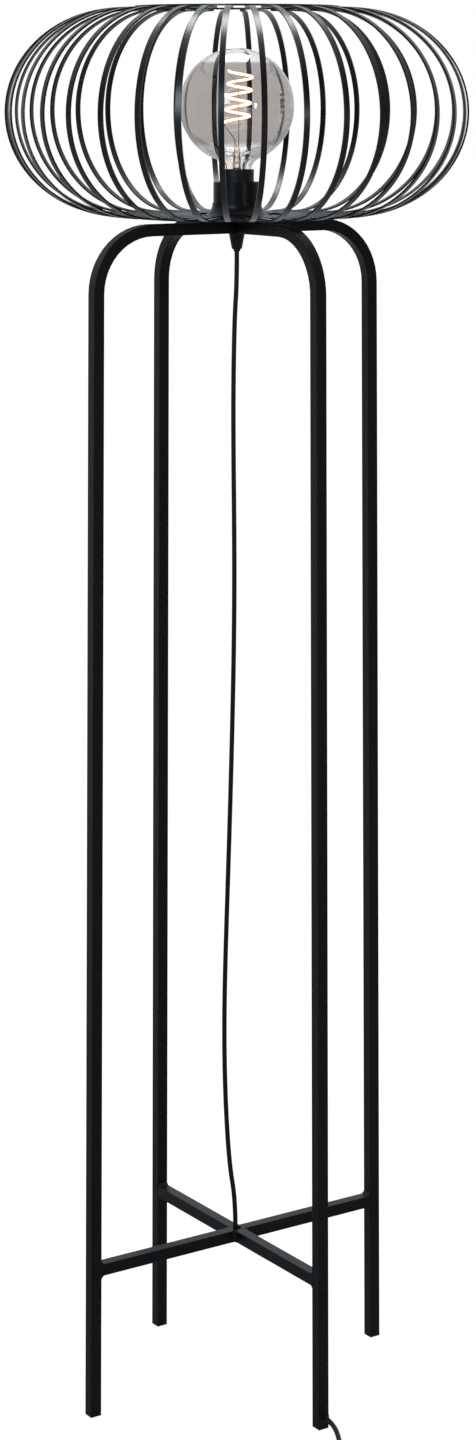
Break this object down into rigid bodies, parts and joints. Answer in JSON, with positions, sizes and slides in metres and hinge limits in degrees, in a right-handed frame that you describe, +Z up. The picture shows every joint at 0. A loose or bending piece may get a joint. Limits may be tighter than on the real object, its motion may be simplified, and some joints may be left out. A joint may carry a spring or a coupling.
{
  "type": "floor lamp",
  "caption": "Floor lamp: a bulging cage of flat metal strips round a globe bulb, on crossed arches of square tube.",
  "frame": {"origin": "on the floor, under the crossing of the two frames, at the middle of the cage", "axes": "+Z up, X along the long arch, Y along the two half arches, the lead leaves towards -Y"},
  "size_m": [0.4996, 0.6397, 1.5015],
  "materials": {
    "black_powder_coat": "satin",
    "black_plastic": "satin",
    "grey_plastic": "matte",
    "tie_strap": "matte",
    "black_lead": "satin",
    "zinc_steel": "satin",
    "contact_metal": "polished",
    "white_ceramic": "glossy",
    "smoked_glass": "polished",
    "clear_glass": "polished",
    "cap_metal": "satin",
    "black_glass_insulator": "glossy",
    "glowing_filament": "matte",
    "support_wire": "satin"
  },
  "bodies": {
    "lamp": {"long_arch": "black_powder_coat", "front_half_arch": "black_powder_coat", "rear_half_arch": "black_powder_coat", "long_stretcher": "black_powder_coat", "front_half_stretcher": "black_powder_coat", "rear_half_stretcher": "black_powder_coat", "cross_welds": "black_powder_coat", "leg_soles": "black_plastic", "cage_top_ring": "black_powder_coat", "cage_base_plate": "black_powder_coat", "cage_strips_1": "black_powder_coat", "cage_strips_2": "black_powder_coat", "cage_strips_3": "black_powder_coat", "cage_strips_4": "black_powder_coat", "cage_strips_5": "black_powder_coat", "cage_strips_6": "black_powder_coat", "cage_strips_7": "black_powder_coat", "cage_strips_8": "black_powder_coat", "cage_strips_9": "black_powder_coat", "cage_screws": "black_powder_coat", "cage_spacers": "black_powder_coat", "centre_spacer": "black_powder_coat", "threaded_nipple": "zinc_steel", "plate_nut": "zinc_steel", "cup_nut": "zinc_steel", "cord_gland": "black_plastic", "gland_grip_screw": "zinc_steel", "flared_foot": "black_powder_coat", "holder_cup": "black_powder_coat", "holder_body": "black_plastic", "closing_ring": "black_plastic", "holder_core": "white_ceramic", "screw_shell": "contact_metal", "centre_contact": "contact_metal", "terminal_screws": "zinc_steel", "lead_in_nipple": "black_lead", "hanging_lead": "black_lead", "lead_in_frame": "black_lead", "exit_bushing": "black_plastic", "floor_lead": "black_lead", "switch_tray": "black_plastic", "switch_cover": "black_plastic", "switch_contact_block": "grey_plastic", "switch_spring": "zinc_steel", "switch_screws": "zinc_steel", "switch_to_coil_lead": "black_lead", "lead_coil": "black_lead", "coil_tie": "tie_strap", "coil_to_plug_lead": "black_lead", "plug_body": "black_plastic", "plug_pins": "contact_metal"},
    "bulb": {"bulb_glass": "smoked_glass", "bulb_cap": "cap_metal", "bulb_insulator": "black_glass_insulator", "bulb_contact": "cap_metal", "bulb_stem": "clear_glass", "spiral_filament": "glowing_filament", "filament_supports": "support_wire"},
    "switch_button": {"switch_button": "black_plastic"}
  },
  "joints": [
    {"name": "bulb_out", "type": "slide", "parent": "lamp", "child": "bulb", "axis": [0, 0, 1], "range_m": [0, 0.2]},
    {"name": "button_press", "type": "slide", "parent": "lamp", "child": "switch_button", "axis": [0, 0, -1], "range_m": [0, 0.003], "stiffness_N_per_m": 1200, "springref_m": -0.001, "deforming": ["switch_spring"]}
  ]
}
